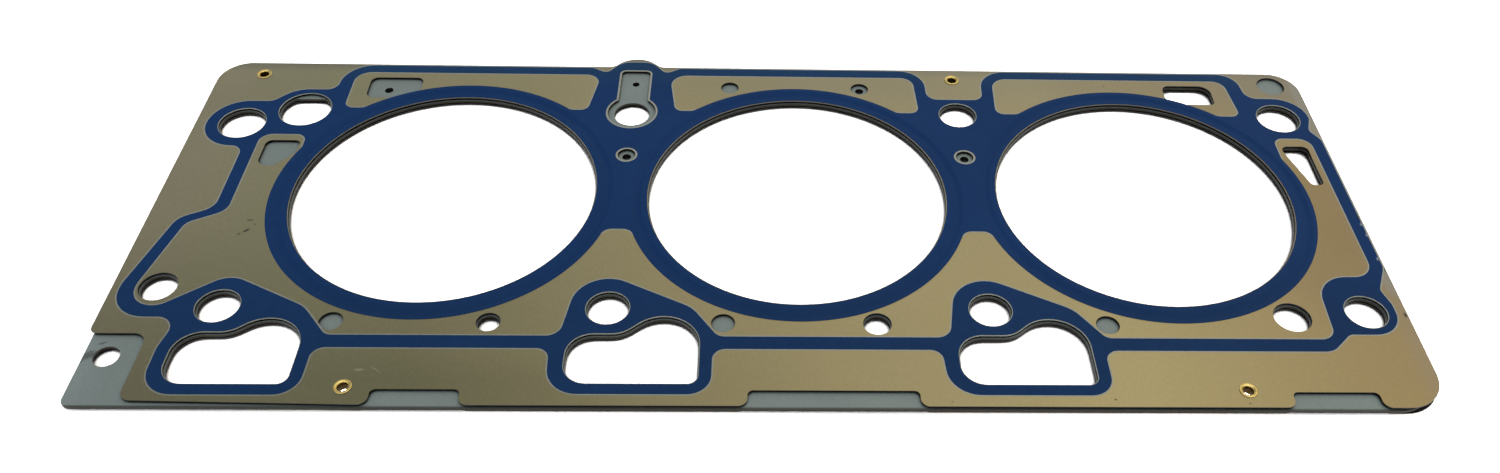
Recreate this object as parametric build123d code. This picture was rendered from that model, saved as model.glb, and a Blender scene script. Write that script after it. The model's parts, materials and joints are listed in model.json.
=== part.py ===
from build123d import *
import os
from math import radians, sin, sqrt, tan

# Multi-layer steel cylinder head gasket for one bank of three cylinders.
# Two thin embossed active sheets lie on a thicker carrier sheet, held by four brass eyelets,
# and each active sheet wears a printed elastomer seal coat.
# Millimetres. X runs along the bank, Y towards the far side, Z up towards the cylinder head.
# The origin is on the middle cylinder's axis, half-way through the carrier sheet: the stack is
# the same above and below it.

# ---------------------------------------------------------------- layer stack
sheet_thickness = 0.25          # each active sheet
carrier_thickness = 0.8
bead_height = 0.75              # how far an embossed bead stands out of its sheet
coat_thickness = 0.05           # printed elastomer
flange_thickness = 0.3          # eyelet flange, which the free gasket stands on

upper_face_z = carrier_thickness / 2 + bead_height + sheet_thickness

# ---------------------------------------------------------------- cylinders and their beads
bore_radius = 47.4              # hole in the active sheets
bridge_width = 16.5             # steel left between two bores
carrier_setback = 0.3           # carrier holes are this much smaller in radius
bead_setback = 3.7              # from a bore's edge to the middle of the full bead round it
bead_width = 3.2
bead_crest_width = 1.0          # flat that bears on the carrier
seal_ring_width = 6.7           # from a bore's edge to the outside of the printed ring round it
hole_margin = 0.2               # unprinted steel round a hole through all the layers
bare_margin = 0.65              # and round one that the carrier closes

bore_pitch = 2 * bore_radius + bridge_width
bead_radius = bore_radius + bead_setback
seal_ring_radius = bore_radius + seal_ring_width
left_bore_x, mid_bore_x, right_bore_x = -bore_pitch, 0, bore_pitch
bore_x = [left_bore_x, mid_bore_x, right_bore_x]

# ---------------------------------------------------------------- head bolts
# Four columns of two, half-way between the cylinders and outside the end ones.
far_row_inside = 6.8            # far row, inside the line of the bore edges
near_row_outside = 1.8          # near row, outside it
bolt_hole_radius = 6.3

far_row_y = bore_radius - far_row_inside
near_row_y = -bore_radius - near_row_outside
mid_right_x = bore_pitch / 2
mid_left_x = -mid_right_x
right_x = mid_right_x + bore_pitch
left_x = -right_x
column_x = [left_x, mid_left_x, mid_right_x, right_x]

# ---------------------------------------------------------------- outline of the sheets
far_land = 11.6                 # from the bore rings to the far edge
near_land = 30.4                # from the bore rings to the near edge
left_overhang = 32.4            # left column to left edge
right_overhang = 12.1           # right column to right edge
corner_radius = 10.0
near_right_radius = 12.0
lobe_radius = 9.0               # round lobe on the far edge, over a bolt window
lobe_rise = 4.6
step_width = 16.4               # the active sheets step back to bare the carrier's tab
step_below = 10.5               # step's corner below the near bolt row
step_drop = 1.2                 # the near edge starts this much higher at the step
carrier_inset = 1.0             # carrier edge inside the sheet edge, left, right and far
carrier_proud = 0.5             # carrier edge outside the sheet edge, near side
carrier_corner_radius = 14.0    # near right corner of the carrier

far_edge_y = seal_ring_radius + far_land
near_edge_y = -seal_ring_radius - near_land
step_y = near_row_y - step_below
tab_hole = (left_x - 25.0, step_y - 7.7, 3.6)

# Notches in the near edge of the active sheets: middle, length.
notch_depth = 5.3
notches = [(left_bore_x + 6.4, 24.2), (mid_bore_x + 8.75, 47.3), (right_bore_x + 36.7, 24.4)]

# ---------------------------------------------------------------- round holes through all sheets
oil_drain = (left_x - 17.15, far_row_y - 7.8, 7.6)
wide_bolt_hole = (left_x + 1.7, far_row_y - 0.3, 8.5)
wide_hole_flat = 6.6            # the carrier crosses this far above its centre
breather = (left_x - 19.35, near_row_y + 7.5, 5.55)
dowel_hole = (right_x, far_row_y, 7.3)
drain = (right_x - 22.65, near_row_y - 2.2, 5.6)
coolant_offset_x = 22.2
coolant_y = -seal_ring_radius - 0.7
far_coolant_offset_x = 22.6
far_coolant_y = seal_ring_radius + 0.3
far_coolant_radius = 3.05
coolant_holes = [(bore_x[0] + coolant_offset_x, coolant_y, 3.5), (coolant_offset_x, coolant_y, 4.15)]

# Round holes in the active sheets that the carrier closes, or pierces with a metering hole.
metering_radius = 1.45
blind_holes = [(x - coolant_offset_x, coolant_y, 3.45) for x in bore_x]
blind_holes += [(-far_coolant_offset_x, far_coolant_y, far_coolant_radius), (right_x + 2.45, far_edge_y - 7.0, 4.8)]
bridge_holes = [(mid_left_x, 18.4, 2.9), (mid_right_x, 18.7, 2.9)]
metered_holes = [(far_coolant_offset_x, far_coolant_y, far_coolant_radius)] + bridge_holes

# The window on the far side, over a bolt: a round opening joined to a slot.
window_radius = 8.1
window_width = 10.0
window_top = far_edge_y - 2.5
window_metering = (mid_left_x + 0.2, far_edge_y - 8.7, 1.2)
far_left_metering = (left_bore_x - 28.7, far_edge_y - 13.5, metering_radius)

# ---------------------------------------------------------------- pushrod openings
pushrod_right = 27.0            # from the bolt column
pushrod_saddle_y = near_row_y - 9.9
pushrod_lobe_radius = 10.5
pushrod_lobe_slope = 41.0       # degrees, from the saddle up to the lobe
# Bolt column, left side from the column, floor, top of the lobe.
pushrod_openings = [
    (left_x, -8.0, near_edge_y + 6.9, near_row_y - 4.6),
    (mid_left_x, -10.4, near_edge_y + 7.5, near_row_y - 3.2),
    (mid_right_x, -11.0, near_edge_y + 7.6, near_row_y - 3.6),
]

# ---------------------------------------------------------------- seal print
edge_setback = 0.7              # far band to the far edge
band_width = 3.9
near_band_width = 4.6
pushrod_ring_width = 3.7
island_floor_y = far_row_y + 0.8
blend_radius = 3.4

# ---------------------------------------------------------------- eyelets
eyelet_bore = 1.5
eyelet_wall = 0.25
eyelet_flange_radius = 2.5
eyelet_flange_chamfer = 0.15
eyelet_clearance = 0.05
eyelet_places = [
    (left_x - 17.3, far_edge_y - 6.4),
    (mid_right_x, far_edge_y - 5.6),
    (left_x + 42.4, near_edge_y + 6.0),
    (right_bore_x + 12.4, near_edge_y + 5.8),
]

far_band_outer_y = far_edge_y - edge_setback
far_band_inner_y = far_band_outer_y - band_width
near_band_outer_y = near_row_y - 15.3
near_band_inner_y = near_band_outer_y + near_band_width


# ---------------------------------------------------------------- drawing helpers
def disc(x, y, radius):
    return Pos(x, y) * Circle(radius)


def beside(x, y, *corners):
    """Corners (dx, dy, radius) counted from the point (x, y)."""
    return [(x + dx, y + dy, radius) for dx, dy, radius in corners]


def rounded(corners):
    """The face inside a closed outline of (x, y, radius) corners, each rounded by a tangent arc."""
    points = [Vector(x, y) for x, y, _ in corners]
    count = len(points)
    to_last = [(points[i - 1] - points[i]) for i in range(count)]
    to_next = [(points[(i + 1) % count] - points[i]) for i in range(count)]
    half = [radians(to_last[i].get_angle(to_next[i]) / 2) for i in range(count)]
    reach = [corners[i][2] / tan(half[i]) for i in range(count)]
    # Two arcs that meet on a side share it, and never pass its length.
    room = [min(1, to_next[i].length / max(reach[i] + reach[(i + 1) % count], 1e-9)) for i in range(count)]
    reach = [reach[i] * min(room[i], room[i - 1]) for i in range(count)]
    starts = [points[i] + to_last[i].normalized() * reach[i] for i in range(count)]
    ends = [points[i] + to_next[i].normalized() * reach[i] for i in range(count)]
    edges = []
    for i in range(count):
        if reach[i] > 1e-6:
            inward = (to_last[i].normalized() + to_next[i].normalized()).normalized()
            radius = reach[i] * tan(half[i])
            crown = points[i] + inward * (radius / sin(half[i]) - radius)
            edges.append(Edge.make_three_point_arc(starts[i], crown, ends[i]))
        following = starts[(i + 1) % count]
        if (following - ends[i]).length > 1e-6:
            edges.append(Edge.make_line(ends[i], following))
    return Sketch() + Face(Wire(edges))


def cut_by_ring(face, x, blend):
    """A face less the disc of the seal ring of the bore at x, with the new corners blended."""
    face -= disc(x, 0, seal_ring_radius)
    sharp = face.vertices().filter_by(lambda v: abs(sqrt((v.X - x) ** 2 + v.Y ** 2) - seal_ring_radius) < 1e-3)
    return fillet(sharp, blend)


# ---------------------------------------------------------------- outlines
def notch_corners(middle, length):
    start = middle - length / 2
    floor_y = near_edge_y + notch_depth
    return [
        (start, near_edge_y, 2.5),
        (start, floor_y, 1.6),
        (start + length, floor_y, 1.6),
        (start + length, near_edge_y, 2.5),
    ]


def active_outline():
    left_edge = left_x - left_overhang
    right_edge = right_x + right_overhang
    corners = [
        (right_edge, near_edge_y, near_right_radius),
        (right_edge, far_edge_y, corner_radius),
        (left_edge, far_edge_y, corner_radius),
        (left_edge, step_y, 2.2),
        (left_edge + step_width, step_y, 3.8),
        (left_edge + step_width, near_edge_y + step_drop, 3.2),
    ]
    corners += notch_corners(*notches[0]) + notch_corners(*notches[1]) + notch_corners(*notches[2])
    return with_lobe(rounded(corners), far_edge_y, lobe_radius)


def with_lobe(outline, edge_y, radius):
    """The outline with the round lobe of the far edge, blended into it."""
    outline += disc(mid_left_x, far_edge_y + lobe_rise - lobe_radius, radius)
    reach = lambda v: abs(v.X - mid_left_x) < 2 * radius and abs(v.Y - edge_y) < 1e-3
    return fillet(outline.vertices().filter_by(reach), 4.0)


def carrier_outline():
    left_edge = left_x - left_overhang + carrier_inset
    right_edge = right_x + right_overhang - carrier_inset
    far_y = far_edge_y - carrier_inset
    near_y = near_edge_y - carrier_proud
    corners = [
        (right_edge, near_y, carrier_corner_radius),
        (right_edge, far_y, corner_radius),
        (left_edge, far_y, corner_radius),
        (left_edge, near_y, 3.0),
    ]
    return with_lobe(rounded(corners), far_y, lobe_radius - carrier_inset)


def pushrod_opening(column, left, floor_y, lobe_top, grow=0):
    """One opening for a pair of pushrods: a low end, a saddle under the bolt, and a round lobe."""
    rise = lobe_top - pushrod_saddle_y
    lobe_start = pushrod_right - pushrod_lobe_radius - pushrod_lobe_radius * tan(radians(pushrod_lobe_slope / 2))
    saddle_end = lobe_start - rise / tan(radians(pushrod_lobe_slope))
    shape = rounded(beside(
        column, 0,
        (left, floor_y, 6.8),
        (pushrod_right, floor_y, 3.0),
        (pushrod_right, lobe_top, pushrod_lobe_radius),
        (lobe_start, lobe_top, pushrod_lobe_radius),
        (saddle_end, pushrod_saddle_y, 8.0),
        (left, pushrod_saddle_y, 7.5),
    ))
    return offset(shape, grow) if grow else shape


def bolt_window(grow=0):
    """The round opening over a bolt with the slot that leads from it to the lobe."""
    slot_height = window_top - far_row_y
    slot = Pos(mid_left_x, far_row_y + slot_height / 2) * Rectangle(window_width, slot_height)
    top = slot.vertices().filter_by(lambda v: v.Y > far_row_y + 1)
    opening = fillet(top, 1.5) + disc(mid_left_x, far_row_y, window_radius)
    return offset(opening, grow) if grow else opening


def far_right_slot():
    """The coolant slot at the right of the far side, cut back along the bore's seal ring."""
    slot = rounded(beside(
        right_bore_x, far_edge_y,
        (18.65, -17.9, 1.5), (35.65, -17.9, 1.8), (35.65, -7.4, 4.0), (18.65, -7.4, 2.8),
    ))
    return cut_by_ring(slot, right_bore_x, 1.2)


def right_slot():
    """The tapered coolant slot beside the right bore."""
    return rounded(beside(
        right_x, far_row_y,
        (-4.2, -14.8, 2.2), (5.5, -14.8, 2.0), (5.5, -34.1, 1.8), (1.3, -34.1, 1.5),
    ))


def far_left_window():
    """The window in the active sheets at the left of the far side, along the bore's seal ring."""
    window = rounded(beside(
        left_bore_x, far_edge_y,
        (-35.55, -18.7, 2.8), (-17.55, -18.7, 2.5), (-17.55, -7.5, 2.5), (-35.55, -7.5, 2.5),
    ))
    return cut_by_ring(window, left_bore_x, 1.2)


def left_window():
    """The tapered window in the active sheets beside the left bore."""
    return rounded(beside(
        left_x, far_row_y,
        (-6.6, -16.5, 2.2), (4.6, -16.5, 1.8), (4.4, -22.8, 3.0), (-1.4, -29.2, 2.5), (-6.6, -28.6, 3.0),
    ))


through_holes = [oil_drain, wide_bolt_hole, breather, dowel_hole, drain] + coolant_holes
through_holes += [(x, near_row_y, bolt_hole_radius) for x in column_x]
through_holes += [(mid_right_x, far_row_y, bolt_hole_radius)]
printed_round = [oil_drain, wide_bolt_hole, dowel_hole]
printed_round += [(x, near_row_y, bolt_hole_radius) for x in column_x]
printed_round += [(mid_right_x, far_row_y, bolt_hole_radius)]


def active_face():
    face = active_outline() - bolt_window() - far_right_slot() - right_slot()
    face -= far_left_window() + left_window()
    for x in bore_x:
        face -= disc(x, 0, bore_radius)
    for hole in through_holes + blind_holes + metered_holes:
        face -= disc(*hole)
    for opening in pushrod_openings:
        face -= pushrod_opening(*opening)
    for x, y in eyelet_places:
        face -= disc(x, y, eyelet_bore + eyelet_wall + eyelet_clearance)
    return face


def carrier_face():
    face = carrier_outline() - far_right_slot() - right_slot()
    for x in bore_x:
        face -= disc(x, 0, bore_radius - carrier_setback)
    for x, y, radius in through_holes:
        hole = disc(x, y, radius - carrier_setback)
        if (x, y, radius) == wide_bolt_hole:
            hole -= Pos(x, y + wide_hole_flat + radius) * Rectangle(2 * radius, 2 * radius)
        face -= hole
    face -= disc(mid_left_x, far_row_y, bolt_hole_radius - carrier_setback)
    for opening in pushrod_openings:
        face -= pushrod_opening(*opening, grow=-carrier_setback)
    for x, y, _ in metered_holes:
        face -= disc(x, y, metering_radius)
    for hole in (far_left_metering, window_metering, tab_hole):
        face -= disc(*hole)
    for x, y in eyelet_places:
        face -= disc(x, y, eyelet_bore + eyelet_wall + eyelet_clearance)
    return face


# ---------------------------------------------------------------- seal print
def print_outline():
    """Outer edge of the seal print, anticlockwise from the near left."""
    drain_x, drain_y, drain_r = oil_drain
    wide_x, wide_y, wide_r = wide_bolt_hole
    dowel_x, dowel_y, dowel_r = dowel_hole
    drain_ring = drain_r + 4.0
    wide_ring = wide_r + 2.25
    dowel_ring = dowel_r + 3.5
    bolt_ring = bolt_hole_radius + 2.5
    corners = []
    # Near side: down and round each pushrod opening, and along the band between them.
    for index, (column, left, floor_y, _) in enumerate(pushrod_openings):
        if index:
            corners += [(column + left - pushrod_ring_width - 1.0, near_band_outer_y, 3.8)]
        corners += [
            (column + left - pushrod_ring_width, floor_y - pushrod_ring_width, 9.0),
            (column + pushrod_right + pushrod_ring_width, floor_y - pushrod_ring_width, 6.6),
            (column + pushrod_right + pushrod_ring_width, near_band_outer_y, 3.8),
        ]
    # Right end: round the near bolt, up the right band, round the dowel.
    corners += beside(
        right_x, near_row_y,
        (-14.6, near_band_outer_y - near_row_y, 6.0),
        (-7.8, -bolt_ring, 3.0),
        (bolt_ring, -bolt_ring, bolt_ring),
        (bolt_ring, 3.0, 4.0),
        (7.2, 9.0, 3.0),
        (11.5, 18.2, 6.0),
    )
    corners += beside(
        dowel_x, dowel_y,
        (11.5, -11.3, 5.0), (8.6, -6.3, 3.0), (dowel_ring, 0, 4.0),
        (dowel_ring, dowel_ring, dowel_ring), (-8.2, dowel_ring, 4.5),
    )
    corners += beside(right_x, far_band_outer_y, (-9.4, 0, 7.0))
    # Far side: the pocket round the second eyelet, and the lobe over the bolt window.
    corners += beside(
        mid_right_x, 0,
        (10.4, far_band_outer_y, 9.0), (9.6, far_row_y + 8.4, 3.5),
        (-9.8, far_row_y + 8.4, 4.0), (-10.1, far_band_outer_y, 9.0),
    )
    corners += beside(
        mid_left_x, far_band_outer_y,
        (15.3, 0, 3.0), (10.3, -2.9, 2.2), (5.3, 3.4, 6.0),
        (-5.3, 3.4, 6.0), (-10.3, -2.9, 2.2), (-15.3, 0, 3.0),
    )
    # Left end: round the wide bolt hole and the drain, down the left band, round the breather.
    corners += beside(left_x, far_band_outer_y, (9.9, 0, 11.0))
    corners += beside(wide_x, wide_y, (8.0, wide_ring, 4.0), (-5.5, wide_ring, wide_ring))
    corners += beside(
        drain_x, drain_y,
        (6.9, drain_ring, 4.0), (-drain_ring, drain_ring, drain_ring),
        (-drain_ring, -drain_ring, drain_ring), (3.7, -drain_ring, 4.0),
    )
    corners += beside(left_x, 0, (-13.4, -8.2, 5.5), (-23.2, -13.1, 6.0))
    corners += beside(
        breather[0], breather[1],
        (-10.7, 0.7, 12.0), (-10.7, -11.8, 10.5), (10.0, -11.8, 5.0), (7.6, -23.3, 8.0),
    )
    return rounded(corners)


def far_islands():
    """Unprinted fields between the far band and the three bore rings."""
    # From the bolt column at the left: top, floor. From the column at the right: floor, top.
    ends = [(14.25, 14.25, -15.05, -11.95), (11.85, 14.65, -13.15, -14.05), (14.15, 13.25, -12.85, -14.35)]
    islands = Sketch()
    for number, (top_left, floor_left, floor_right, top_right) in enumerate(ends):
        before, after = column_x[number], column_x[number + 1]
        field = rounded([
            (before + top_left, far_band_inner_y, 5.3), (before + floor_left, island_floor_y, 3.0),
            (after + floor_right, island_floor_y, 3.0), (after + top_right, far_band_inner_y, 4.6),
        ])
        islands += cut_by_ring(field, bore_x[number], blend_radius)
    return islands


def near_field():
    """The long unprinted field under the bores, from the left window to the right slot."""
    apex_y = -16.4
    left_top = far_row_y - 13.4
    right_top = far_row_y - 10.7
    right_floor = near_row_y + 14.2
    corners = [(left_x - 9.3, left_top, 4.0), (left_x + 5.7, left_top, 3.4), (left_x + 5.7, 10, 0)]
    corners += [(left_x + 40, 10, 0), (left_x + 40, apex_y, 0), (right_x - 40, apex_y, 0), (right_x - 40, 10, 0)]
    corners += [(right_x - 5.1, 10, 0), (right_x - 5.1, right_top, 3.4), (right_x + 7.6, right_top, 4.5)]
    corners += [(right_x + 7.7, right_floor, 6.5), (right_x - 10.9, right_floor, 10.0)]
    corners += [(right_x - 12.3, near_band_inner_y, 4.5)]
    for column in (mid_right_x, mid_left_x):
        corners += beside(
            column, near_band_inner_y,
            (32.1, 0, 3.5), (24.3, 11.0, 10.0), (-8.7, 27.7, 10.5), (-12.8, 0, 4.5),
        )
    corners += beside(left_x, near_band_inner_y, (33.0, 0, 3.5), (24.4, 10.7, 10.0), (0, 23.1, 8.0))
    corners += beside(
        breather[0], breather[1],
        (2.8, -7.5, 6.0), (-6.4, -7.5, 7.0), (-6.4, 1.0, 12.0), (-0.8, 26.6, 4.5),
    )
    corners += beside(left_x, 0, (-9.3, -9.5, 5.0))
    field = rounded(corners)
    for x in bore_x:
        field -= disc(x, 0, seal_ring_radius)
    on_ring = lambda v: any(abs(sqrt((v.X - x) ** 2 + v.Y ** 2) - seal_ring_radius) < 1e-3 for x in bore_x)
    return fillet(field.vertices().filter_by(on_ring), blend_radius)


def print_face():
    face = print_outline() - far_islands() - near_field() - bolt_window(bare_margin)
    for x in bore_x:
        face -= disc(x, 0, bore_radius + hole_margin)
    for x, y, radius in printed_round:
        face -= disc(x, y, radius + hole_margin)
    for x, y, radius in bridge_holes:
        face -= disc(x, y, radius + bare_margin)
    for opening in pushrod_openings:
        face -= pushrod_opening(*opening, grow=hole_margin)
    return face


# ---------------------------------------------------------------- layers
def bead(x, thickness):
    """One full bead round the bore at x: a layer pressed down to a flat crest, top face at z = 0."""
    outer = bead_width / 2
    crest = bead_crest_width / 2
    top = [(-outer, 0), (-crest, -bead_height), (crest, -bead_height), (outer, 0)]
    under = [(dx, z - thickness) for dx, z in reversed(top)]
    section = Polyline(*[(bead_radius + dx, 0, z) for dx, z in top + under], close=True)
    return Pos(x, 0) * revolve(make_face(section), Axis.Z)


def beaded_layer(face, thickness):
    """A layer of the given outline, with the three bore beads pressed into it, top face at z = 0."""
    layer = extrude(face, -thickness)
    for x in bore_x:
        ring = disc(x, 0, bead_radius + bead_width / 2) - disc(x, 0, bead_radius - bead_width / 2)
        layer -= extrude(ring, -thickness)
        layer += bead(x, thickness)
    return layer


def eyelet():
    """A brass eyelet: a tube with a flange at each end, its outer edge broken by a chamfer."""
    tube = eyelet_bore + eyelet_wall
    top = upper_face_z + flange_thickness
    bevel = eyelet_flange_chamfer
    half = [
        (eyelet_bore, 0), (eyelet_bore, top), (eyelet_flange_radius - bevel, top),
        (eyelet_flange_radius, top - bevel), (eyelet_flange_radius, upper_face_z),
        (tube, upper_face_z), (tube, 0),
    ]
    section = half + [(x, -z) for x, z in reversed(half[1:-1])]
    return revolve(make_face(Plane.XZ * Polyline(*section, close=True)), Axis.Z)


upper_sheet = Pos(0, 0, upper_face_z) * beaded_layer(active_face(), sheet_thickness)
upper_coat = Pos(0, 0, upper_face_z + coat_thickness) * beaded_layer(print_face(), coat_thickness)
carrier = extrude(carrier_face(), carrier_thickness / 2, both=True)

nodes = {
    "carrier_sheet": carrier,
    "upper_active_sheet": upper_sheet,
    "lower_active_sheet": mirror(upper_sheet, Plane.XY),
    "upper_seal_coat": upper_coat,
    "lower_seal_coat": mirror(upper_coat, Plane.XY),
}
for number, place in enumerate(eyelet_places, 1):
    nodes[f"eyelet_{number}"] = Pos(*place) * eyelet()

os.makedirs("parts", exist_ok=True)
for name, shape in nodes.items():
    shape.label = name
    export_step(shape, f"parts/{name}.step")
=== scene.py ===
import json
import math

import bpy
from mathutils import Matrix, Vector
from mathutils.bvhtree import BVHTree


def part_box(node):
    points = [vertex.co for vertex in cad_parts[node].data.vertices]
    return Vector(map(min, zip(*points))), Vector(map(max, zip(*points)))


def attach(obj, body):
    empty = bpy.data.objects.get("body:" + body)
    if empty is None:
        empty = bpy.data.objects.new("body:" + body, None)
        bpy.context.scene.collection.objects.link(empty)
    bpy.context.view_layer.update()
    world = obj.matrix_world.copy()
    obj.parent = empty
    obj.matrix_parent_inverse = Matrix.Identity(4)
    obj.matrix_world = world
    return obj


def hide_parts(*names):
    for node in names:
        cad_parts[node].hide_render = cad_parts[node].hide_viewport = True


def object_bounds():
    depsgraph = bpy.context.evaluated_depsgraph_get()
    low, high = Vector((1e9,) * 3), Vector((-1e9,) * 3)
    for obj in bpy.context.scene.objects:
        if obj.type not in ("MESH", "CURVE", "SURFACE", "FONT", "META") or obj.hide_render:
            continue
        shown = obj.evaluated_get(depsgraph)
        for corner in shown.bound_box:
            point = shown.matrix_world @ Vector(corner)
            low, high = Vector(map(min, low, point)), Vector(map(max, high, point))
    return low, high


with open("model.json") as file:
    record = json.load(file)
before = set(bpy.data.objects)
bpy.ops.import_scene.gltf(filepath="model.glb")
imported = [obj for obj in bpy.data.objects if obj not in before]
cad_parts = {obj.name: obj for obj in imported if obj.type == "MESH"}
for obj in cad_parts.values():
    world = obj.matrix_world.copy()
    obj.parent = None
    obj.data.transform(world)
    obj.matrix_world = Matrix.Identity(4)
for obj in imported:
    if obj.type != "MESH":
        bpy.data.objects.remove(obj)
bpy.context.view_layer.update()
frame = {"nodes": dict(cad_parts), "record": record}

# ---------------------------------------------------------------- carrier sheet
# The thick plain steel sheet in the middle of the stack, blanked in one stroke. Its faces keep
# the dull grey of the mill, and its cut edges are painted dark for the shade on them. The solid
# is copied so that the big bores can be rounded off and its edges shaded smoothly.

MM = 0.001
BORES = [mount for mount in frame["record"]["mounts"] if mount["name"].endswith("_bore")]
BORE_LEAST, BORE_MOST = 40 * MM, 56 * MM    # an edge between these radii may be part of a bore
SAME_POINT = 1e-6
SAME_LEVEL = 1e-7
SAME_RADIUS = 2e-6
ROUND_CUTS = 3                              # new points on each straight piece of a bore's edge
SHEET_SHARP = math.radians(25)              # a corner sharper than this shows as an edge


def only(piece):
    """Makes the piece the only selected object, and the active one."""
    bpy.ops.object.select_all(action="DESELECT")
    piece.select_set(True)
    bpy.context.view_layer.objects.active = piece


def pick(piece, kind, rule):
    """Goes into edit mode with only those points, edges or faces selected that the rule holds for."""
    only(piece)
    bpy.ops.object.mode_set(mode="EDIT")
    bpy.ops.mesh.select_mode(type=kind)
    bpy.ops.mesh.select_all(action="DESELECT")
    bpy.ops.object.mode_set(mode="OBJECT")
    mesh = piece.data
    for part in {"VERT": mesh.vertices, "EDGE": mesh.edges, "FACE": mesh.polygons}[kind]:
        part.select = rule(part)
    bpy.ops.object.mode_set(mode="EDIT")


def ring_of(edge, vertices):
    """The bore axis and radius of an edge that is one straight piece of a big circle, or None."""
    ends = [vertices[i].co for i in edge.vertices]
    level = abs(ends[0].z - ends[1].z) < SAME_LEVEL
    for bore in BORES:
        axis = Vector(bore["pos_m"][:2])
        least, most = sorted((end.xy - axis).length for end in ends)
        if level and BORE_LEAST < least and most < BORE_MOST and most - least < SAME_RADIUS:
            return axis, (least + most) / 2
    return None


def smooth_copy(node, name):
    """A copy of a CAD node as a piece of its own: merged, with round bores and smooth walls."""
    piece = bpy.data.objects.new(name, frame["nodes"][node].data.copy())
    bpy.context.scene.collection.objects.link(piece)
    piece.data.materials.clear()
    only(piece)
    bpy.ops.object.mode_set(mode="EDIT")
    bpy.ops.mesh.select_all(action="SELECT")
    bpy.ops.mesh.remove_doubles(threshold=SAME_POINT)
    bpy.ops.mesh.customdata_custom_splitnormals_clear()
    bpy.ops.mesh.normals_make_consistent(inside=False)
    bpy.ops.object.mode_set(mode="OBJECT")
    vertices = piece.data.vertices
    on_bores = {edge.index: ring for edge in piece.data.edges if (ring := ring_of(edge, vertices))}
    rings = {}
    for axis, radius in on_bores.values():
        rings[round(axis.x, 6), round(axis.y, 6), round(radius, 5)] = (axis, radius)
    old = len(vertices)
    pick(piece, "EDGE", lambda edge: edge.index in on_bores)
    bpy.ops.mesh.subdivide(number_cuts=ROUND_CUTS, ngon=True)
    bpy.ops.object.mode_set(mode="OBJECT")
    for vertex in piece.data.vertices[old:]:
        axis, radius = min(rings.values(), key=lambda ring: abs((vertex.co.xy - ring[0]).length - ring[1]))
        outward = (vertex.co.xy - axis).normalized() * radius
        vertex.co.x, vertex.co.y = axis.x + outward.x, axis.y + outward.y
    bpy.ops.object.shade_smooth_by_angle(angle=SHEET_SHARP)
    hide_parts(node)
    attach(piece, "root")
    return piece


class Wire:
    """A shader output that can stand in a sum: each operator adds its Math node to the recipe."""

    def __init__(self, recipe, socket):
        self.recipe = recipe
        self.socket = socket

    def math(self, operation, *others, clamp=False):
        numbered = enumerate((self, *others))
        return self.recipe.add("ShaderNodeMath", numbered, operation=operation, use_clamp=clamp)

    def __add__(self, other):
        return self.math("ADD", other)

    def __sub__(self, other):
        return self.math("SUBTRACT", other)

    def __rsub__(self, other):
        return self * -1 + other

    def __mul__(self, other):
        return self.math("MULTIPLY", other)

    __radd__ = __add__
    __rmul__ = __mul__

    def step(self, low, high):
        """0 up to low, 1 from high on, and even between; low may be the larger."""
        return (self - low).math("DIVIDE", high - low, clamp=True)


class Recipe:
    """The nodes of a material, or of the sky."""

    def __init__(self, owner):
        self.owner = owner
        owner.use_nodes = True
        self.tree = owner.node_tree

    def feed(self, socket, value):
        if isinstance(value, Wire):
            self.tree.links.new(value.socket, socket)
        else:
            socket.default_value = value

    def add(self, kind, sockets=(), output=0, **settings):
        """A new node: its settings first, then values or links for its sockets, by name or number."""
        node = self.tree.nodes.new(kind)
        for setting, value in settings.items():
            setattr(node, setting, value)
        for socket, value in dict(sockets).items():
            self.feed(node.inputs[socket], value)
        return Wire(self, node.outputs[output])

    def axes(self, vector):
        node = self.add("ShaderNodeSeparateXYZ", {0: vector}).socket.node
        return [Wire(self, output) for output in node.outputs]

    def vector(self, operation, *values):
        return self.add("ShaderNodeVectorMath", enumerate(values), operation=operation)

    def mix(self, mask, first, second):
        return self.add("ShaderNodeMix", {0: mask, 6: first, 7: second}, output=2, data_type="RGBA")

    def openness(self, distance, samples):
        """1 with nothing within this distance, and towards 0 in a crevice."""
        return self.add("ShaderNodeAmbientOcclusion", {"Distance": distance}, output="AO", samples=samples)


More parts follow.
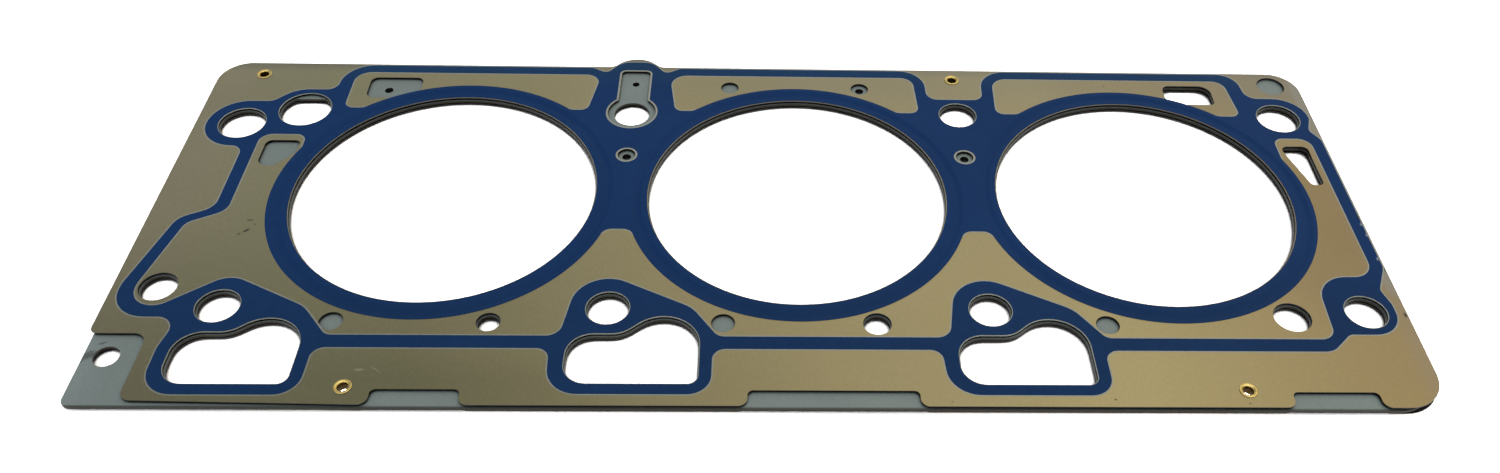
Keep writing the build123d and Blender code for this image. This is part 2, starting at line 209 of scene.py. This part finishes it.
class Finish(Recipe):
    """The finish of a piece, with its place on the gasket in millimetres."""

    def __init__(self, name):
        super().__init__(bpy.data.materials.new(name))
        self.shader = self.tree.nodes["Principled BSDF"]
        self.place = self.add("ShaderNodeTexCoord", output="Object")
        self.x, self.y, self.z = [axis * (1 / MM) for axis in self.axes(self.place)]
        self.upward = self.axes(self.add("ShaderNodeTexCoord", output="Normal"))[2]

    def noise(self, scale, detail, roughness=0.5, place=None):
        sockets = {"Vector": place or self.place, "Scale": scale, "Detail": detail, "Roughness": roughness}
        return self.add("ShaderNodeTexNoise", sockets)

    def walls(self):
        """1 on upright walls, and 0 on faces that lie flat."""
        return self.upward.math("ABSOLUTE").step(0.7, 0.4)

    def tinted(self, base, mask, tint):
        """The base, with its red, green and blue multiplied by the tint where the mask is 1."""
        return self.mix(mask, base, self.vector("MULTIPLY", base, tint))

    def spot(self, x, y, length, width, turn, ragged):
        """A mask of one mark: an ellipse in millimetres, turned by degrees, its edge broken by noise."""
        across, along = math.cos(math.radians(turn)), math.sin(math.radians(turn))
        u = ((self.x - x) * across + (self.y - y) * along) * (2 / length)
        v = ((self.y - y) * across - (self.x - x) * along) * (2 / width)
        reach = (u * u + v * v).math("SQRT")
        return (reach + (self.noise(2600.0, detail=3.0) - 0.5) * (2 * ragged)).step(1.0, 0.55)

    def marked(self, base, marks, tone, strength, ragged):
        """The base with marks of one tone on it, each given by its x, y, length, width and turn."""
        for mark in marks:
            base = self.mix(self.spot(*mark, ragged) * strength, base, tone)
        return base

    def set(self, **values):
        for socket, value in values.items():
            self.feed(self.shader.inputs[socket.replace("_", " ")], value)

    def bump(self, height, distance, strength, **normal):
        sockets = {"Height": height, "Distance": distance, "Strength": strength, **normal}
        self.set(Normal=self.add("ShaderNodeBump", sockets))


def colour(red, green, blue):
    """A colour as a picture program gives it, 0 to 255, in the linear light that shaders use."""
    levels = [c / 255 for c in (red, green, blue)]
    return (*[((c + 0.055) / 1.055) ** 2.4 if c > 0.04045 else c / 12.92 for c in levels], 1.0)


MILL_GREY = (124, 136, 134)
MILL_DARK = colour(*[c * 0.95 for c in MILL_GREY])
MILL_LIGHT = colour(*[c * 1.04 for c in MILL_GREY])
SHADED_CUT_EDGE = colour(37, 33, 26)
PAINTED_GAP_SHADE = colour(14, 14, 13)
GAP_SHADE_REACH = 3 * MM
GAP_SHADE_STARTS, GAP_SHADE_FULL = 0.66, 0.42         # how open the place is, from 1 in the open to 0
SMUDGE = colour(58, 56, 56)
TAB_SMUDGES = [(-197.0, -67.0, 5.5, 3.4, 35), (-198.6, -69.4, 2.6, 1.6, 60), (-194.6, -62.6, 3.0, 1.0, 20)]
TAB_STARTS, TAB_BARE = -188.0, -199.0       # the tab is lighter from one x to the other
TAB_TINT = (1.14, 1.13, 1.15)
NEAR_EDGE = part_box("carrier_sheet")[0].y / MM
NEAR_SHADE_STARTS, NEAR_SHADE_FULL = 1.0, 0.4           # how far in from the near edge
NOISE_SPREAD = (0.3, 0.7)                   # between these lie nearly all values of a noise
FINE_GRAIN = 0.01 * MM                      # the height of the grain on the sheets and prints
CREASE_SAMPLES = 8


def bare_steel():
    """Plain rolled steel, with painted shade under the sheets, along the near edge and on its cut edges, and a few
    smudges on the tab.
    """
    finish = Finish("carrier_steel")
    grain = finish.noise(1600.0, detail=3.0, roughness=0.6)
    cloud = finish.noise(60.0, detail=2.0)
    base = finish.mix((grain * 0.6 + cloud * 0.4).step(*NOISE_SPREAD), MILL_DARK, MILL_LIGHT)
    # Painted shade darkens the steel where another sheet lies close above it.
    under_sheet_shade = finish.openness(GAP_SHADE_REACH, CREASE_SAMPLES).step(GAP_SHADE_STARTS, GAP_SHADE_FULL)
    base = finish.mix(under_sheet_shade * 0.97, base, PAINTED_GAP_SHADE)
    # Painted shade darkens a band along the long near edge, nearly as dark as the edge itself.
    near_edge_shade = finish.y.step(NEAR_EDGE + NEAR_SHADE_STARTS, NEAR_EDGE + NEAR_SHADE_FULL)
    base = finish.mix(near_edge_shade * 0.75, base, SHADED_CUT_EDGE)
    # The cut edges are painted dark for the shade on them.
    base = finish.mix(finish.walls(), base, SHADED_CUT_EDGE)
    base = finish.tinted(base, finish.x.step(TAB_STARTS, TAB_BARE), TAB_TINT)
    base = finish.marked(base, TAB_SMUDGES, SMUDGE, strength=0.6, ragged=0.9)
    finish.set(Base_Color=base, Metallic=0.25, Roughness=grain * 0.12 + 0.42, Specular_IOR_Level=0.2)
    finish.bump(grain, FINE_GRAIN, strength=0.2)
    return finish.owner


carrier = smooth_copy("carrier_sheet", "carrier_plate")
# Its far right corner reaches a little further out, so that no light shows past it through the
# round hole in the sheet above.
FAR_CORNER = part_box("carrier_sheet")[1]
CORNER_SIZE = 13 * MM
CORNER_REACH = Vector((0.55, 0.55, 0)) * MM
for vertex in carrier.data.vertices:
    if max(FAR_CORNER.x - vertex.co.x, FAR_CORNER.y - vertex.co.y) < CORNER_SIZE:
        vertex.co += CORNER_REACH
carrier.data.materials.append(bare_steel())

# ---------------------------------------------------------------- active sheets
# Two thin sheets of spring steel, embossed with a bead round each bore. A thin khaki film covers
# the outer face, brushed fine across the sheet, and the inner face is painted black for the shade
# between the sheets. Handling has left a few scuffs, scratches and specks on the upper one.

FILM_LIGHT = colour(167, 157, 121)
FILM_DARK = colour(151, 142, 108)
RIM_GREY = colour(140, 139, 133)
FAR_RIM_GREY = colour(122, 122, 114)
SHADED_FILM_EDGE = colour(50, 46, 39)
INNER_FACE_SHADE = colour(12, 12, 13)
SCUFF = colour(52, 52, 48)
SCRATCH = colour(196, 186, 158)
SPECK = colour(70, 62, 46)
NICK = colour(48, 50, 58)
SHEET_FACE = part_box("upper_active_sheet")[1].z / MM
FILM_ENDS, BLACK_STARTS = 0.01, 0.03        # how far in from the outer face
BRUSHED_LONG = (1.0, 0.45, 1.0)             # the brush marks are longer from the near to the far side
# The marks are given in millimetres and degrees: x, y, length, width and turn.
SCUFFS = [
    (-167.9, -18.4, 2.8, 1.2, 40), (-169.7, -19.9, 1.3, 0.7, 30),
    (-168.0, -13.8, 2.4, 0.6, 5), (-166.0, -15.6, 1.0, 0.5, 0),
]
SCRATCHES = [(-121.4, -72.5, 3.6, 1.2, 0), (-117.0, -72.4, 5.0, 0.35, -35)]
SPECKS = [
    (109.4, 57.6, 0.7, 0.7, 0), (123.0, -83.2, 0.8, 0.8, 0),
    (86.0, -82.0, 0.9, 0.9, 0), (41.0, -83.0, 0.6, 0.6, 0),
]
# Where the right edge is nicked, and how long each nick is along it.
EDGE_NICKS = [(178.6, -8.5, 3.6), (178.7, -14.4, 1.8), (178.6, -21.0, 2.2), (178.6, -30.8, 3.8), (178.3, -50.2, 2.4)]


def along_edge(nicks, width, turn):
    """The nicks as marks of one width."""
    return [(x, y, length, width, turn) for x, y, length in nicks]


def khaki_film(name, handled):
    """Spring steel under a thin brushed film, its tone shifted from place to place, with painted shade at the near
    left, on the cut edges and on the inner face.
    """
    finish = Finish(name)
    drawn_out = finish.add("ShaderNodeMapping", {"Vector": finish.place, "Scale": BRUSHED_LONG})
    brushed = finish.noise(1500.0, detail=3.0, roughness=0.6, place=drawn_out)
    fine = finish.noise(3600.0, detail=2.0)
    cloud = finish.noise(14.0, detail=2.0)
    tone = brushed * 0.35 + fine * 0.35 + cloud * 0.3
    base = finish.mix(tone.step(0.35, 0.65), FILM_DARK, FILM_LIGHT)
    x, y = finish.x, finish.y
    # Tints by place; the darkening at the near left is painted shade.
    for mask, tint in (
        (x.step(-10.0, -150.0), (1.0, 1.07, 1.14)),
        (x.step(90.0, 185.0), (0.88, 0.78, 0.70)),
        (x.step(30.0, -110.0) * y.step(-15.0, -75.0), (0.72, 0.74, 0.72)),
        (x.step(-90.0, -190.0) * y.step(-40.0, 60.0), (1.10, 1.12, 1.16)),
        (x.step(-168.0, -196.0), (1.08, 1.05, 1.10)),
        (x.step(-150.0, -110.0) * x.step(-20.0, -70.0) * y.step(-62.0, -76.0), (0.88, 0.90, 0.90)),
        (x.step(-60.0, 0.0) * y.step(30.0, 55.0), (0.85, 0.89, 1.04)),
        (x.step(140.0, 172.0) * y.step(10.0, 55.0), (0.93, 1.04, 1.32)),
        (x.step(30.0, 80.0) * x.step(150.0, 100.0) * y.step(-40.0, -70.0), (1.08, 1.08, 1.02)),
        (x.step(130.0, 158.0) * y.step(-62.0, -38.0) * y.step(30.0, 5.0), (0.88, 0.87, 0.91)),
    ):
        base = finish.tinted(base, mask, tint)
    # Towards the right and far cut edges the film is mixed to grey.
    right_rim = x.step(175.4, 177.2) * y.step(-44.0, -36.0) + x.step(172.0, 179.0) * 0.35
    base = finish.mix(right_rim.math("MINIMUM", 0.85), base, RIM_GREY)
    base = finish.mix(y.step(61.0, 68.0) * 0.85, base, FAR_RIM_GREY)
    if handled:
        nicks = along_edge(EDGE_NICKS, width=1.2, turn=90)
        base = finish.marked(base, SCUFFS, SCUFF, strength=0.75, ragged=0.9)
        base = finish.marked(base, SCRATCHES, SCRATCH, strength=0.45, ragged=0.8)
        base = finish.marked(base, SPECKS, SPECK, strength=0.7, ragged=0.5)
        base = finish.marked(base, nicks, NICK, strength=0.8, ragged=0.9)
    # The cut edges are painted dark for the shade on them.
    edge = finish.walls()
    base = finish.mix(edge, base, SHADED_FILM_EDGE)
    # The inner face is painted black for the shade in the gaps between the sheets.
    inside = finish.z.math("ABSOLUTE").step(SHEET_FACE - FILM_ENDS, SHEET_FACE - BLACK_STARTS)
    base = finish.mix(inside * (1 - edge), base, INNER_FACE_SHADE)
    finish.set(Base_Color=base, Metallic=(1 - inside) * 0.85, Roughness=brushed * 0.10 + 0.36)
    finish.bump(brushed * 0.5 + fine * 0.5, FINE_GRAIN, strength=0.15)
    return finish.owner


sheets = []
for node, name, handled in (("upper_active_sheet", "upper_sheet", True), ("lower_active_sheet", "lower_sheet", False)):
    sheet = smooth_copy(node, name)
    sheet.data.materials.append(khaki_film(name + "_film", handled))
    sheets.append(sheet)

# ---------------------------------------------------------------- seal prints
# Dark blue elastomer, screen printed on the outer faces over the beads. It is matt, a little
# uneven, and its edges are soft where the print has flowed.

PRINT_BLUE = colour(22, 54, 99)
PRINT_DEEP = colour(18, 48, 91)
PRINT_NICK = colour(26, 28, 34)
PRINT_CHIP = colour(150, 158, 166)
FAR_SHEEN_TINT = (1.70, 1.30, 0.90)
NEAR_TINT = (1.05, 0.93, 0.84)
EDGE_CHIPS = [(178.1, -12.0, 1.6), (178.3, -16.6, 2.0), (178.0, -27.2, 1.8)]
LEVELLING = (1.6, 1.6, 1.6)                 # the weight of the flat face in the print's shading


def elastomer(name, handled):
    """The printed seal, painted paler and greyer on the far side as a sheen, with nicks and pale chips at the right
    edge.
    """
    finish = Finish(name)
    cloud = finish.noise(22.0, detail=3.0)
    mottle = finish.noise(420.0, detail=3.0)
    fine = finish.noise(2400.0, detail=2.0)
    base = finish.mix((cloud * 0.6 + mottle * 0.4).step(*NOISE_SPREAD), PRINT_DEEP, PRINT_BLUE)
    # Towards the far side the blue is painted paler and greyer, a painted sheen.
    base = finish.tinted(base, finish.y.step(54.0, 67.0), FAR_SHEEN_TINT)
    base = finish.tinted(base, finish.y.step(-25.0, -52.0), NEAR_TINT)
    if handled:
        nicks = along_edge(EDGE_NICKS, width=1.3, turn=90)
        chips = along_edge(EDGE_CHIPS, width=0.9, turn=75)
        base = finish.marked(base, nicks, PRINT_NICK, strength=0.9, ragged=0.9)
        base = finish.marked(base, chips, PRINT_CHIP, strength=0.6, ragged=0.9)
    finish.set(Base_Color=base, Roughness=mottle * 0.10 + 0.45, Specular_IOR_Level=0.05)
    # The ink fills the bead's corners, so the slopes shade less than the steel under them.
    level = finish.add("ShaderNodeCombineXYZ", {"Z": finish.upward.math("SIGN")})
    own = finish.add("ShaderNodeNewGeometry", output="Normal")
    even = finish.vector("NORMALIZE", finish.vector("MULTIPLY_ADD", level, LEVELLING, own))
    finish.bump(mottle * 0.5 + fine * 0.5, FINE_GRAIN, strength=0.2, Normal=even)
    return finish.owner


prints = []
for node, name, handled in (("upper_seal_coat", "upper_print", True), ("lower_seal_coat", "lower_print", False)):
    coat = smooth_copy(node, name)
    coat.data.materials.append(elastomer(name + "_ink", handled))
    prints.append(coat)

# ---------------------------------------------------------------- bare margins
# The khaki film stops short of the blue print, and both stop short of the holes that the print
# rings. The strip of clean steel between them shows as a thin light line along every border.

FIELD_STRIP = 0.42 * MM                     # between the print and the film
WIDE_RIM = 0.66 * MM                        # round the bare holes that the print rings
RIM_SLACK = 1.03                            # a hole this many rims away is still one of them
REACH = 0.96                                # a strip ends just short of the hole's edge
MARGIN_HEIGHT = 0.012 * MM
BARE_WALL = 0.35 * MM                       # a hole's wall is clean steel when the print is this near
WALL_TILT = 0.01                            # a wall's normal points up or down by less than this
STEEL_DARK = colour(136, 140, 131)
STEEL_LIGHT = colour(153, 157, 148)
NEAR_LEFT_TINT = (0.74, 0.75, 0.74)


def is_wall(face):
    return abs(face.normal.z) < WALL_TILT


def walls_of(piece):
    """The piece's upright walls, for measuring how near a point is to a cut edge."""
    walls = [list(face.vertices) for face in piece.data.polygons if is_wall(face)]
    return BVHTree.FromPolygons([vertex.co for vertex in piece.data.vertices], walls)


def bare_margin(coat, sheet, name):
    """The print's side walls, thickened outwards into a strip and pressed down to the sheet."""
    strip = bpy.data.objects.new(name, coat.data.copy())
    bpy.context.scene.collection.objects.link(strip)
    strip.data.materials.clear()
    pick(strip, "FACE", lambda face: not is_wall(face))
    bpy.ops.mesh.delete(type="FACE")
    bpy.ops.object.mode_set(mode="OBJECT")
    sheet_walls = walls_of(sheet)
    width = strip.vertex_groups.new(name="width")
    for vertex in strip.data.vertices:
        gap = sheet_walls.find_nearest(vertex.co)[3]
        reach = gap * REACH if gap < WIDE_RIM * RIM_SLACK else FIELD_STRIP
        width.add([vertex.index], reach / WIDE_RIM, "REPLACE")
    thicken = strip.modifiers.new("strip", "SOLIDIFY")
    thicken.thickness = WIDE_RIM
    thicken.vertex_group = width.name
    thicken.offset = 1.0
    thicken.use_even_offset = True
    bpy.ops.object.modifier_apply(modifier=thicken.name)
    sheet_face = min((vertex.co.z for vertex in strip.data.vertices), key=abs)
    margin_top = sheet_face + math.copysign(MARGIN_HEIGHT, sheet_face)
    for vertex in strip.data.vertices:
        if abs(vertex.co.z - sheet_face) > MARGIN_HEIGHT:
            vertex.co.z = margin_top
    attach(strip, "root")
    return strip


def clean_steel():
    """Bare spring steel, in more shade at the near left."""
    finish = Finish("margin_steel")
    fine = finish.noise(1800.0, detail=2.0)
    base = finish.mix(fine.step(*NOISE_SPREAD), STEEL_DARK, STEEL_LIGHT)
    near_left = finish.x.step(20.0, -110.0) * finish.y.step(-15.0, -70.0)
    base = finish.tinted(base, near_left, NEAR_LEFT_TINT)
    finish.set(Base_Color=base, Metallic=0.15, Roughness=0.4)
    return finish.owner


margin_steel = clean_steel()
for coat, sheet, name in zip(prints, sheets, ("upper_margin", "lower_margin")):
    strip = bare_margin(coat, sheet, name)
    strip.data.materials.append(margin_steel)

# The walls of the holes that the print rings are as clean in the upper sheet.
upper_sheet, upper_print = sheets[0], prints[0]
upper_sheet.data.materials.append(margin_steel)
print_walls = walls_of(upper_print)
for face in upper_sheet.data.polygons:
    if is_wall(face) and print_walls.find_nearest(face.center)[3] < BARE_WALL:
        face.material_index = 1

# ---------------------------------------------------------------- eyelets
# Four brass eyelets hold the stack together. Each is a drawn tube with its ends rolled over into
# round flanges, dull brass, with painted shade in its creases and down the hole.

EYELETS = [f"eyelet_{number}" for number in range(1, 5)]
TUBE_RADIUS = 1.62 * MM
TUBE_WALL = 0.20 * MM
TUBE_SIDES = 48
ROLL_RADIUS = 2.20 * MM
ROLL_THICKNESS = 0.30 * MM
ROLL_SIDES = 14
LIP = [(0.18 * MM, 1.68 * MM), (0.10 * MM, 1.80 * MM), (0.07 * MM, 1.98 * MM)]    # each step up, and its radius
BRASS_SHARP = math.radians(40)
BRASS_DARK = colour(200, 172, 92)
BRASS_LIGHT = colour(232, 210, 134)
BRASS_CREASE_SHADE = colour(84, 62, 26)
BRASS_BORE_SHADE = colour(92, 70, 32)
CREASE_REACH = 0.7 * MM
CREASE_STARTS, CREASE_FULL = 0.8, 0.45
BORE_LIGHT, BORE_DARK = 1.40, 1.10          # the bore darkens between these heights
BRASS_GRAIN = 0.03 * MM


def brass():
    """Dull brass, with painted shade in its creases and down the bore."""
    finish = Finish("eyelet_brass")
    fine = finish.noise(1500.0, detail=3.0)
    base = finish.mix(fine.step(*NOISE_SPREAD), BRASS_DARK, BRASS_LIGHT)
    # Painted shade darkens the brass in its creases.
    crease_shade = finish.openness(CREASE_REACH, CREASE_SAMPLES).step(CREASE_STARTS, CREASE_FULL)
    base = finish.mix(crease_shade * 0.85, base, BRASS_CREASE_SHADE)
    # Painted shade darkens the bore further in from its ends.
    base = finish.mix(finish.z.math("ABSOLUTE").step(BORE_LIGHT, BORE_DARK), base, BRASS_BORE_SHADE)
    finish.set(Base_Color=base, Metallic=0.8, Roughness=fine * 0.15 + 0.20)
    finish.bump(fine, BRASS_GRAIN, strength=0.3)
    return finish.owner


def rolled_end(place, height):
    """One end of the tube, rolled over: a round ring pressed to the flange's height."""
    bpy.ops.object.select_all(action="DESELECT")
    bpy.ops.mesh.primitive_torus_add(
        major_segments=TUBE_SIDES, minor_segments=ROLL_SIDES, major_radius=ROLL_RADIUS,
        minor_radius=ROLL_THICKNESS, location=(0, 0, 0),
    )
    bpy.ops.object.mode_set(mode="EDIT")
    bpy.ops.transform.resize(value=(1, 1, height / (2 * ROLL_THICKNESS)))
    bpy.ops.transform.translate(value=place)
    bpy.ops.object.mode_set(mode="OBJECT")
    return bpy.context.active_object


def flared_tube(half_height):
    """The tube round the origin, with a lip drawn outwards in steps at each end."""
    straight = half_height - sum(rise for rise, radius in LIP)
    bpy.ops.object.select_all(action="DESELECT")
    bpy.ops.mesh.primitive_cylinder_add(
        vertices=TUBE_SIDES, radius=TUBE_RADIUS, depth=2 * straight, end_fill_type="NOTHING", location=(0, 0, 0)
    )
    tube = bpy.context.active_object
    for side in (1, -1):
        pick(tube, "VERT", lambda vertex: vertex.co.z * side > straight * 0.9)
        before = TUBE_RADIUS
        for rise, radius in LIP:
            wider = radius / before
            bpy.ops.mesh.extrude_edges_move(TRANSFORM_OT_translate={"value": (0, 0, side * rise)})
            bpy.ops.transform.resize(value=(wider, wider, 1), center_override=(0, 0, 0))
            before = radius
        bpy.ops.object.mode_set(mode="OBJECT")
    return tube


def rolled_eyelet(node, name):
    """A tube with rolled ends, where the CAD node has its eyelet."""
    low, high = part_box(node)
    middle = (low + high) / 2
    flange = high.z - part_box("upper_active_sheet")[1].z
    flange_middle = high.z - flange / 2
    rolls = [rolled_end((middle.x, middle.y, side * flange_middle), flange) for side in (1, -1)]
    tube = flared_tube(flange_middle)
    bpy.ops.object.mode_set(mode="EDIT")
    bpy.ops.mesh.select_all(action="SELECT")
    bpy.ops.transform.translate(value=(middle.x, middle.y, 0))
    bpy.ops.object.mode_set(mode="OBJECT")
    wall = tube.modifiers.new("wall", "SOLIDIFY")
    wall.thickness = TUBE_WALL
    wall.offset = 0
    bpy.ops.object.modifier_apply(modifier=wall.name)
    for roll in rolls:
        roll.select_set(True)
    bpy.ops.object.join()
    tube.name = name
    tube.data.name = name
    bpy.ops.object.shade_smooth_by_angle(angle=BRASS_SHARP)
    return tube


eyelet_brass = brass()
for node in EYELETS:
    rivet = rolled_eyelet(node, f"rolled_{node}")
    rivet.data.materials.append(eyelet_brass)
    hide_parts(node)
    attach(rivet, "root")

# ---------------------------------------------------------------- table top and light
# A white table top under the gasket, a soft sky that is warmer and brighter to the right, and
# one large soft lamp over the far side.

TABLE_SIZE = 12.0
SHADE_REACH = 4 * MM
SHADE_SAMPLES = 16
SHADE_FULL, SHADE_NONE = 0.42, 0.58         # how open the place is, from 0 to 1
TABLE_SHADED, TABLE_WHITE = 0.05, 2.2
SHADE_THINS, SHADE_GONE = -74 * MM, -78 * MM    # nearer than this the table shows no shade
GLINT_OUTER, GLINT_INNER = 3.0 * MM, 2.5 * MM   # the table looks whiter down the eyelets' bores
GLINT = 12
TABLE_GREY = (0.4, 0.4, 0.4, 1)             # what the table is to the light that falls on it
SHOWN_BY = ("Is Camera Ray", "Is Glossy Ray", "Is Transmission Ray")


def rays(recipe, first, *others):
    """1 for the rays of these kinds, and 0 for all others."""
    mask = recipe.add("ShaderNodeLightPath", output=first)
    for kind in others:
        mask = mask.math("MAXIMUM", recipe.add("ShaderNodeLightPath", output=kind))
    return mask


def white_paper():
    """White to the eye and in what shines, with a soft shade close under the gasket."""
    paper = Recipe(bpy.data.materials.new("white_paper"))
    paper.tree.nodes.remove(paper.tree.nodes["Principled BSDF"])
    x, y = paper.axes(paper.add("ShaderNodeTexCoord", output="Object"))[:2]
    lit = paper.openness(SHADE_REACH, SHADE_SAMPLES).step(SHADE_FULL, SHADE_NONE)
    white = lit * (TABLE_WHITE - TABLE_SHADED) + TABLE_SHADED
    white = white + (TABLE_WHITE - white) * y.step(SHADE_THINS, SHADE_GONE)
    to_camera = rays(paper, "Is Camera Ray")
    for node in EYELETS:
        low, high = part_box(node)
        aside, ahead = x - (low.x + high.x) / 2, y - (low.y + high.y) / 2
        glint = (aside * aside + ahead * ahead).step(GLINT_OUTER ** 2, GLINT_INNER ** 2)
        white = white + glint * to_camera * GLINT
    grey = paper.add("ShaderNodeBsdfDiffuse", {"Color": TABLE_GREY})
    shown = paper.add("ShaderNodeBsdfDiffuse", {"Color": white})
    surface = paper.add("ShaderNodeMixShader", {0: rays(paper, *SHOWN_BY), 1: grey, 2: shown})
    paper.feed(paper.tree.nodes["Material Output"].inputs["Surface"], surface)
    return paper.owner


floor_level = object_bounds()[0].z
bpy.ops.object.select_all(action="DESELECT")
bpy.ops.mesh.primitive_plane_add(size=TABLE_SIZE, location=(0, 0, floor_level))
table_top = bpy.context.active_object
table_top.name = "table_top"
table_top.data.materials.append(white_paper())

LOW_LEFT, LOW_RIGHT = (0.24, 0.27, 0.34, 1), (0.74, 0.72, 0.65, 1)
HIGH_LEFT, HIGH_RIGHT = (0.06, 0.07, 0.09, 1), (0.98, 0.85, 0.60, 1)
FAR_RIGHT = (0.55, 0.45, 0.32, 1)
NEAR_LOW, NEAR_HIGH = (0.06, 0.06, 0.06, 1), (1.75, 1.75, 1.78, 1)
WHITE = (1.0, 1.0, 1.0, 1)

sky = Recipe(bpy.data.worlds.new("soft_room"))
bpy.context.scene.world = sky.owner
to_right, to_far, upward = sky.axes(sky.add("ShaderNodeTexCoord", output="Generated"))
low_sky = sky.mix(to_right.step(-0.6, 0.5), LOW_LEFT, LOW_RIGHT)
high_sky = sky.mix(to_right.step(-0.35, 0.35), HIGH_LEFT, HIGH_RIGHT)
far_side = sky.mix(to_right.step(0.38, 0.7), sky.mix(upward.step(0.5, 0.9), low_sky, high_sky), FAR_RIGHT)
near_side = sky.mix(upward.step(0.2, 0.85), NEAR_LOW, NEAR_HIGH)
room = sky.mix(to_far.step(-0.3, 0.4), near_side, far_side)
# Low down the room is as white as the table, to the eye and in what shines.
room = sky.mix(rays(sky, *SHOWN_BY) * upward.step(0.30, 0.20), room, WHITE)
sky.feed(sky.tree.nodes["Background"].inputs["Color"], room)

lamp = bpy.data.lights.new("soft_lamp", "AREA")
lamp.shape = "RECTANGLE"
lamp.size, lamp.size_y = 1.6, 1.2
lamp.energy = 2.2
lamp.color = (1.0, 0.95, 0.86)
lamp_stand = bpy.data.objects.new("soft_lamp", lamp)
lamp_stand.location = (0.40, 0.85, 1.0)
lamp_stand.rotation_euler = (-lamp_stand.location).to_track_quat("-Z", "Y").to_euler()
bpy.context.scene.collection.objects.link(lamp_stand)

# ---------------------------------------------------------------- camera
# It looks down on the gasket from the near side, a little left of the middle. The view is
# 1500 pixels wide, and the lens's axis meets it a little right of its centre.

VIEW_WIDTH = 1500
FOCAL_PIXELS = 1255.7
OPTICAL_CENTRE = 798.15
RIGHT = Vector((0.99948717, -0.01704131, 0.02711081))
UP = Vector((-0.00735748, 0.7017705, 0.71236509))
EYE = (-0.01208, -0.29426, 0.27224)
camera = bpy.data.cameras.new("camera")
camera.sensor_width = 36.0
camera.lens = FOCAL_PIXELS * camera.sensor_width / VIEW_WIDTH
camera.shift_x = (VIEW_WIDTH / 2 - OPTICAL_CENTRE) / VIEW_WIDTH
camera.clip_start = 0.01
camera_stand = bpy.data.objects.new("camera", camera)
turn = Matrix((RIGHT, UP, RIGHT.cross(UP))).transposed().to_4x4()
camera_stand.matrix_world = Matrix.Translation(EYE) @ turn
bpy.context.scene.collection.objects.link(camera_stand)
bpy.context.scene.camera = camera_stand
bpy.context.scene.view_settings.view_transform = "Standard"
